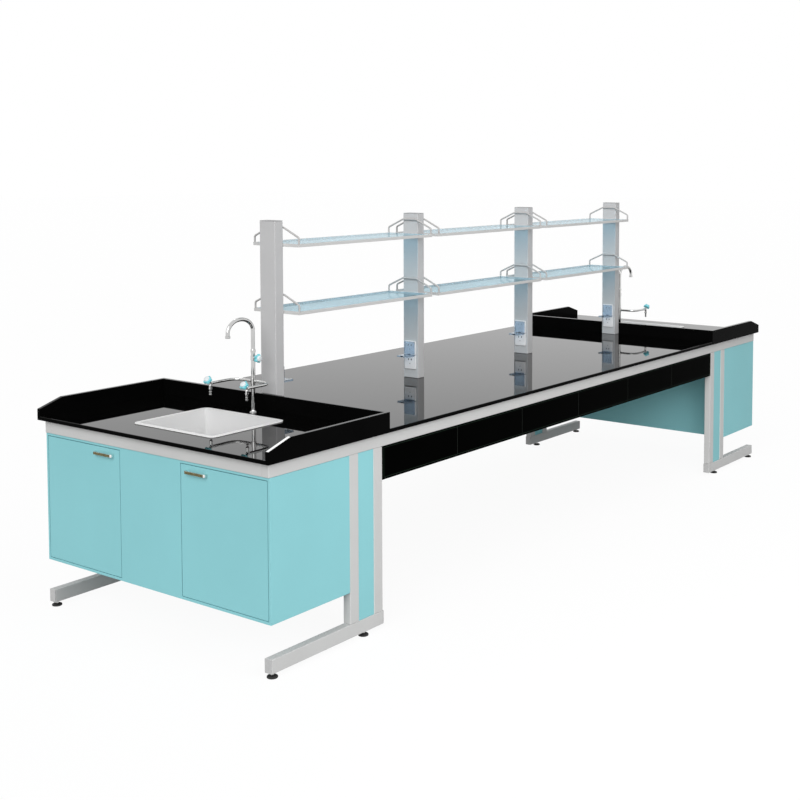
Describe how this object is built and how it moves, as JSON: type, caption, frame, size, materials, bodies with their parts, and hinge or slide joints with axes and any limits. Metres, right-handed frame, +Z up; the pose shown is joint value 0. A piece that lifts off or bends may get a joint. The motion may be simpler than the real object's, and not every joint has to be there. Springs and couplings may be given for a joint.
{
  "type": "lab bench with reagent shelf",
  "caption": "Double-sided laboratory bench with black worktops, a central reagent shelf of glass shelves on posts with covered sockets, and a sink, taps and hanging cabinet at each end.",
  "frame": {"origin": "on the floor, at the middle of the bench's length and width", "axes": "+X along the bench towards its far sink station, +Y across it towards its rear long side, +Z up"},
  "size_m": [4.8, 1.5, 1.8],
  "materials": {
    "worktop": "polished black solid-grade laminate",
    "frame": "light grey powder coat",
    "fascia": "black powder coat",
    "post": "light grey powder coat",
    "socket_cover": "clear blue",
    "shelf_glass": "clear, pale blue",
    "sink": "white glaze",
    "tap": "polished",
    "knob": "satin teal",
    "cabinet": "pale teal powder coat",
    "foot": "matte"
  },
  "bodies": {
    "bench": {"worktop_main": "worktop", "sink_top_near": "worktop", "sink_top_far": "worktop", "top_frame": "frame", "end_frame_near_front": "frame", "end_frame_near_rear": "frame", "end_frame_far_front": "frame", "end_frame_far_rear": "frame", "apron_front": "fascia", "apron_rear": "fascia", "post_1": "post", "post_2": "post", "post_3": "post", "post_4": "post", "shelf_frame_lower_1": "post", "shelf_frame_lower_2": "post", "shelf_frame_lower_3": "post", "shelf_frame_upper_1": "post", "shelf_frame_upper_2": "post", "shelf_frame_upper_3": "post", "shelf_glass_lower_1": "shelf_glass", "shelf_glass_lower_2": "shelf_glass", "shelf_glass_lower_3": "shelf_glass", "shelf_glass_upper_1": "shelf_glass", "shelf_glass_upper_2": "shelf_glass", "shelf_glass_upper_3": "shelf_glass", "sink_near": "sink", "sink_far": "sink", "tap_near": "tap", "tap_far": "tap", "cabinet_near": "cabinet", "cabinet_far": "cabinet", "foot_near_front_outer": "foot", "foot_near_front_inner": "foot", "foot_near_rear_outer": "foot", "foot_near_rear_inner": "foot", "foot_far_front_outer": "foot", "foot_far_front_inner": "foot", "foot_far_rear_outer": "foot", "foot_far_rear_inner": "foot"},
    "door_near_front": {"door_near_front": "cabinet"},
    "door_near_rear": {"door_near_rear": "cabinet"},
    "door_far_front": {"door_far_front": "cabinet"},
    "door_far_rear": {"door_far_rear": "cabinet"},
    "spout_near": {"spout_near": "tap"},
    "spout_far": {"spout_far": "tap"},
    "knob_near_column": {"knob_near_column": "knob"},
    "knob_near_front": {"knob_near_front": "knob"},
    "knob_near_rear": {"knob_near_rear": "knob"},
    "knob_far_column": {"knob_far_column": "knob"},
    "knob_far_front": {"knob_far_front": "knob"},
    "knob_far_rear": {"knob_far_rear": "knob"},
    "socket_cover_upper_1": {"socket_cover_upper_1": "socket_cover"},
    "socket_cover_upper_2": {"socket_cover_upper_2": "socket_cover"},
    "socket_cover_upper_3": {"socket_cover_upper_3": "socket_cover"},
    "socket_cover_upper_4": {"socket_cover_upper_4": "socket_cover"},
    "socket_cover_lower_1": {"socket_cover_lower_1": "socket_cover"},
    "socket_cover_lower_2": {"socket_cover_lower_2": "socket_cover"},
    "socket_cover_lower_3": {"socket_cover_lower_3": "socket_cover"},
    "socket_cover_lower_4": {"socket_cover_lower_4": "socket_cover"}
  },
  "joints": [
    {"name": "door_near_front_hinge", "type": "hinge", "parent": "bench", "child": "door_near_front", "pos_m": [-2.37, -0.711, 0.5225], "axis": [0, 0, 1], "range_deg": [0, 105]},
    {"name": "door_near_rear_hinge", "type": "hinge", "parent": "bench", "child": "door_near_rear", "pos_m": [-2.37, 0.711, 0.5225], "axis": [0, 0, -1], "range_deg": [0, 105]},
    {"name": "door_far_front_hinge", "type": "hinge", "parent": "bench", "child": "door_far_front", "pos_m": [2.37, -0.711, 0.5225], "axis": [0, 0, -1], "range_deg": [0, 105]},
    {"name": "door_far_rear_hinge", "type": "hinge", "parent": "bench", "child": "door_far_rear", "pos_m": [2.37, 0.711, 0.5225], "axis": [0, 0, 1], "range_deg": [0, 105]},
    {"name": "spout_near_swivel", "type": "hinge", "parent": "bench", "child": "spout_near", "pos_m": [-1.75, 0, 1.185], "axis": [0, 0, 1], "range_deg": [-100, 100]},
    {"name": "spout_far_swivel", "type": "hinge", "parent": "bench", "child": "spout_far", "pos_m": [1.75, 0, 1.185], "axis": [0, 0, 1], "range_deg": [-100, 100]},
    {"name": "knob_near_column_turn", "type": "hinge", "parent": "bench", "child": "knob_near_column", "pos_m": [-1.75, 0, 1.159], "axis": [0, -1, 0], "range_deg": [0, 180]},
    {"name": "knob_near_front_turn", "type": "hinge", "parent": "bench", "child": "knob_near_front", "pos_m": [-1.904, -0.12, 1.046], "axis": [-0.7071, 0, 0.7071], "range_deg": [0, 180]},
    {"name": "knob_near_rear_turn", "type": "hinge", "parent": "bench", "child": "knob_near_rear", "pos_m": [-1.904, 0.12, 1.046], "axis": [-0.7071, 0, 0.7071], "range_deg": [0, 180]},
    {"name": "knob_far_column_turn", "type": "hinge", "parent": "bench", "child": "knob_far_column", "pos_m": [1.75, 0, 1.159], "axis": [0, 1, 0], "range_deg": [0, 180]},
    {"name": "knob_far_front_turn", "type": "hinge", "parent": "bench", "child": "knob_far_front", "pos_m": [1.904, -0.12, 1.046], "axis": [0.7071, 0, 0.7071], "range_deg": [0, 180]},
    {"name": "knob_far_rear_turn", "type": "hinge", "parent": "bench", "child": "knob_far_rear", "pos_m": [1.904, 0.12, 1.046], "axis": [0.7071, 0, 0.7071], "range_deg": [0, 180]},
    {"name": "socket_cover_upper_1_hinge", "type": "hinge", "parent": "bench", "child": "socket_cover_upper_1", "pos_m": [-1.5864, 0, 1.1], "axis": [0, -1, 0], "range_deg": [0, 95]},
    {"name": "socket_cover_upper_2_hinge", "type": "hinge", "parent": "bench", "child": "socket_cover_upper_2", "pos_m": [-0.57693, 0, 1.1], "axis": [0, 1, 0], "range_deg": [0, 95]},
    {"name": "socket_cover_upper_3_hinge", "type": "hinge", "parent": "bench", "child": "socket_cover_upper_3", "pos_m": [0.50473, 0, 1.1], "axis": [0, 1, 0], "range_deg": [0, 95]},
    {"name": "socket_cover_upper_4_hinge", "type": "hinge", "parent": "bench", "child": "socket_cover_upper_4", "pos_m": [1.5864, 0, 1.1], "axis": [0, 1, 0], "range_deg": [0, 95]},
    {"name": "socket_cover_lower_1_hinge", "type": "hinge", "parent": "bench", "child": "socket_cover_lower_1", "pos_m": [-1.5864, 0, 1.021], "axis": [0, -1, 0], "range_deg": [-90, 0]},
    {"name": "socket_cover_lower_2_hinge", "type": "hinge", "parent": "bench", "child": "socket_cover_lower_2", "pos_m": [-0.57693, 0, 1.021], "axis": [0, 1, 0], "range_deg": [-90, 0]},
    {"name": "socket_cover_lower_3_hinge", "type": "hinge", "parent": "bench", "child": "socket_cover_lower_3", "pos_m": [0.50473, 0, 1.021], "axis": [0, 1, 0], "range_deg": [-90, 0]},
    {"name": "socket_cover_lower_4_hinge", "type": "hinge", "parent": "bench", "child": "socket_cover_lower_4", "pos_m": [1.5864, 0, 1.021], "axis": [0, 1, 0], "range_deg": [-90, 0]}
  ]
}
